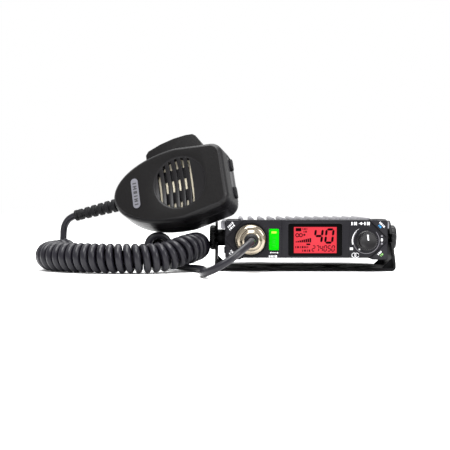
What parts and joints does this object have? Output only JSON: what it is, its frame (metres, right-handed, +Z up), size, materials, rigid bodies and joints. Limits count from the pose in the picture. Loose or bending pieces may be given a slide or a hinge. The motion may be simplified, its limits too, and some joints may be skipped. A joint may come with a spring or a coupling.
{
  "type": "mobile transceiver",
  "caption": "Slim vehicle radio transceiver held in a U bracket by thumb screws, with a finned case, front controls and a hand microphone on a curly cord.",
  "frame": {"origin": "on the standing surface, at the centre of the bracket base hole pattern", "axes": "+X to the right as the user faces the panel, +Y away from the user, +Z up"},
  "size_m": [0.2353, 0.1711, 0.0889],
  "materials": {
    "panel_plastic": "fine-textured moulded ABS",
    "frame_plastic": "satin moulded plastic",
    "window": "polished acrylic",
    "display": "lit liquid crystal display",
    "key_plastic": "fine-textured moulded ABS",
    "knob_plastic": "satin moulded ABS",
    "chrome": "bright nickel plate",
    "rubber": "moulded rubber",
    "green_rubber": "soft moulded silicone",
    "case_metal": "satin extruded aluminium",
    "black_steel": "black powder coat",
    "circuit_board": "solder-masked glass epoxy",
    "component": "moulded epoxy",
    "bright_metal": "machined and plated",
    "insulator": "phenolic",
    "white_plastic": "moulded nylon",
    "mic_plastic": "spark-textured moulded ABS",
    "mic_gloss": "satin moulded ABS",
    "grey_plate": "gloss moulded plastic",
    "felt": "acoustic cloth",
    "name_silver": "satin foil",
    "cord_rubber": "extruded polyurethane sheath"
  },
  "bodies": {
    "radio": {"panel_left": "panel_plastic", "display_frame": "frame_plastic", "panel_right": "panel_plastic", "lcd_lens": "window", "lcd_glass": "display", "backlight": "white_plastic", "key_switches": "component", "front_board": "circuit_board", "encoder_body": "bright_metal", "mic_socket": "bright_metal", "socket_insulator": "insulator", "plug_shell": "chrome", "plug_boot": "rubber", "usb_socket": "bright_metal", "case_top": "case_metal", "bottom_cover": "black_steel", "rear_panel": "black_steel", "main_board": "circuit_board", "board_parts": "component", "speaker": "component", "antenna_socket": "bright_metal", "power_socket": "white_plastic", "speaker_jack": "component", "case_screws": "black_steel", "rubber_spacers": "rubber", "mic_front_shell": "mic_plastic", "mic_rear_shell": "mic_gloss", "mic_grille_cloth": "felt", "mic_capsule": "bright_metal", "mic_board": "circuit_board", "ptt_switch": "component", "mic_end_plate": "grey_plate", "mic_name_plate": "name_silver", "hangup_stud": "bright_metal", "mic_screws": "black_steel", "strain_relief": "rubber", "cord_tail": "cord_rubber", "cord_coil": "cord_rubber", "cord_lead": "cord_rubber"},
    "bracket": {"bracket": "black_steel"},
    "thumb_left": {"thumb_screw_left": "knob_plastic"},
    "thumb_right": {"thumb_screw_right": "knob_plastic"},
    "knob_plunger": {"encoder_plunger": "component"},
    "knob": {"volume_knob": "knob_plastic", "encoder_shaft": "bright_metal"},
    "key_tl": {"key_top_left": "key_plastic"},
    "key_bl": {"key_bottom_left": "key_plastic"},
    "key_tr": {"key_top_right": "key_plastic"},
    "key_br": {"key_bottom_right": "key_plastic"},
    "plug_coupling": {"plug_ring": "chrome"},
    "usb_cover": {"usb_flap": "green_rubber"},
    "talk_key": {"ptt_key": "mic_plastic"},
    "up_button": {"mic_up_button": "knob_plastic"},
    "down_button": {"mic_down_button": "knob_plastic"}
  },
  "joints": [
    {"name": "bracket_tilt", "type": "hinge", "parent": "radio", "child": "bracket", "pos_m": [0, 0, 0.0205], "axis": [1, 0, 0], "range_deg": [-12, 12]},
    {"name": "thumb_left_turn", "type": "hinge", "parent": "radio", "child": "thumb_left", "pos_m": [-0.0576, 0, 0.0205], "axis": [-1, 0, 0], "continuous": true},
    {"name": "thumb_right_turn", "type": "hinge", "parent": "radio", "child": "thumb_right", "pos_m": [0.0576, 0, 0.0205], "axis": [1, 0, 0], "continuous": true},
    {"name": "knob_push", "type": "slide", "parent": "radio", "child": "knob_plunger", "axis": [0, 1, 0], "range_m": [0, 0.0005], "stiffness_N_per_m": 4000},
    {"name": "knob_turn", "type": "hinge", "parent": "knob_plunger", "child": "knob", "pos_m": [0.0376, -0.0357, 0.0198], "axis": [0, 1, 0], "range_deg": [-150, 150]},
    {"name": "key_top_left_press", "type": "slide", "parent": "radio", "child": "key_tl", "axis": [0, 1, 0], "range_m": [0, 0.0006], "stiffness_N_per_m": 4000},
    {"name": "key_bottom_left_press", "type": "slide", "parent": "radio", "child": "key_bl", "axis": [0, 1, 0], "range_m": [0, 0.0006], "stiffness_N_per_m": 4000},
    {"name": "key_top_right_press", "type": "slide", "parent": "radio", "child": "key_tr", "axis": [0, 1, 0], "range_m": [0, 0.0006], "stiffness_N_per_m": 4000},
    {"name": "key_bottom_right_press", "type": "slide", "parent": "radio", "child": "key_br", "axis": [0, 1, 0], "range_m": [0, 0.0006], "stiffness_N_per_m": 4000},
    {"name": "plug_ring_turn", "type": "hinge", "parent": "radio", "child": "plug_coupling", "pos_m": [-0.0349, -0.041, 0.0205], "axis": [0, 1, 0], "continuous": true},
    {"name": "usb_flap_pull", "type": "slide", "parent": "radio", "child": "usb_cover", "axis": [0, -1, 0], "range_m": [0, 0.009]},
    {"name": "talk_key_press", "type": "hinge", "parent": "radio", "child": "talk_key", "pos_m": [-0.09658, 0.00287, 0.06192], "axis": [0.2939, 0.9045, -0.309], "range_deg": [0, 5], "stiffness_Nm_per_rad": 1, "springref_deg": -2.86},
    {"name": "up_button_press", "type": "slide", "parent": "radio", "child": "up_button", "axis": [-0.9449, 0.2262, -0.2365], "range_m": [0, 0.0006], "stiffness_N_per_m": 3000},
    {"name": "down_button_press", "type": "slide", "parent": "radio", "child": "down_button", "axis": [-0.9449, 0.2262, -0.2365], "range_m": [0, 0.0006], "stiffness_N_per_m": 3000}
  ]
}
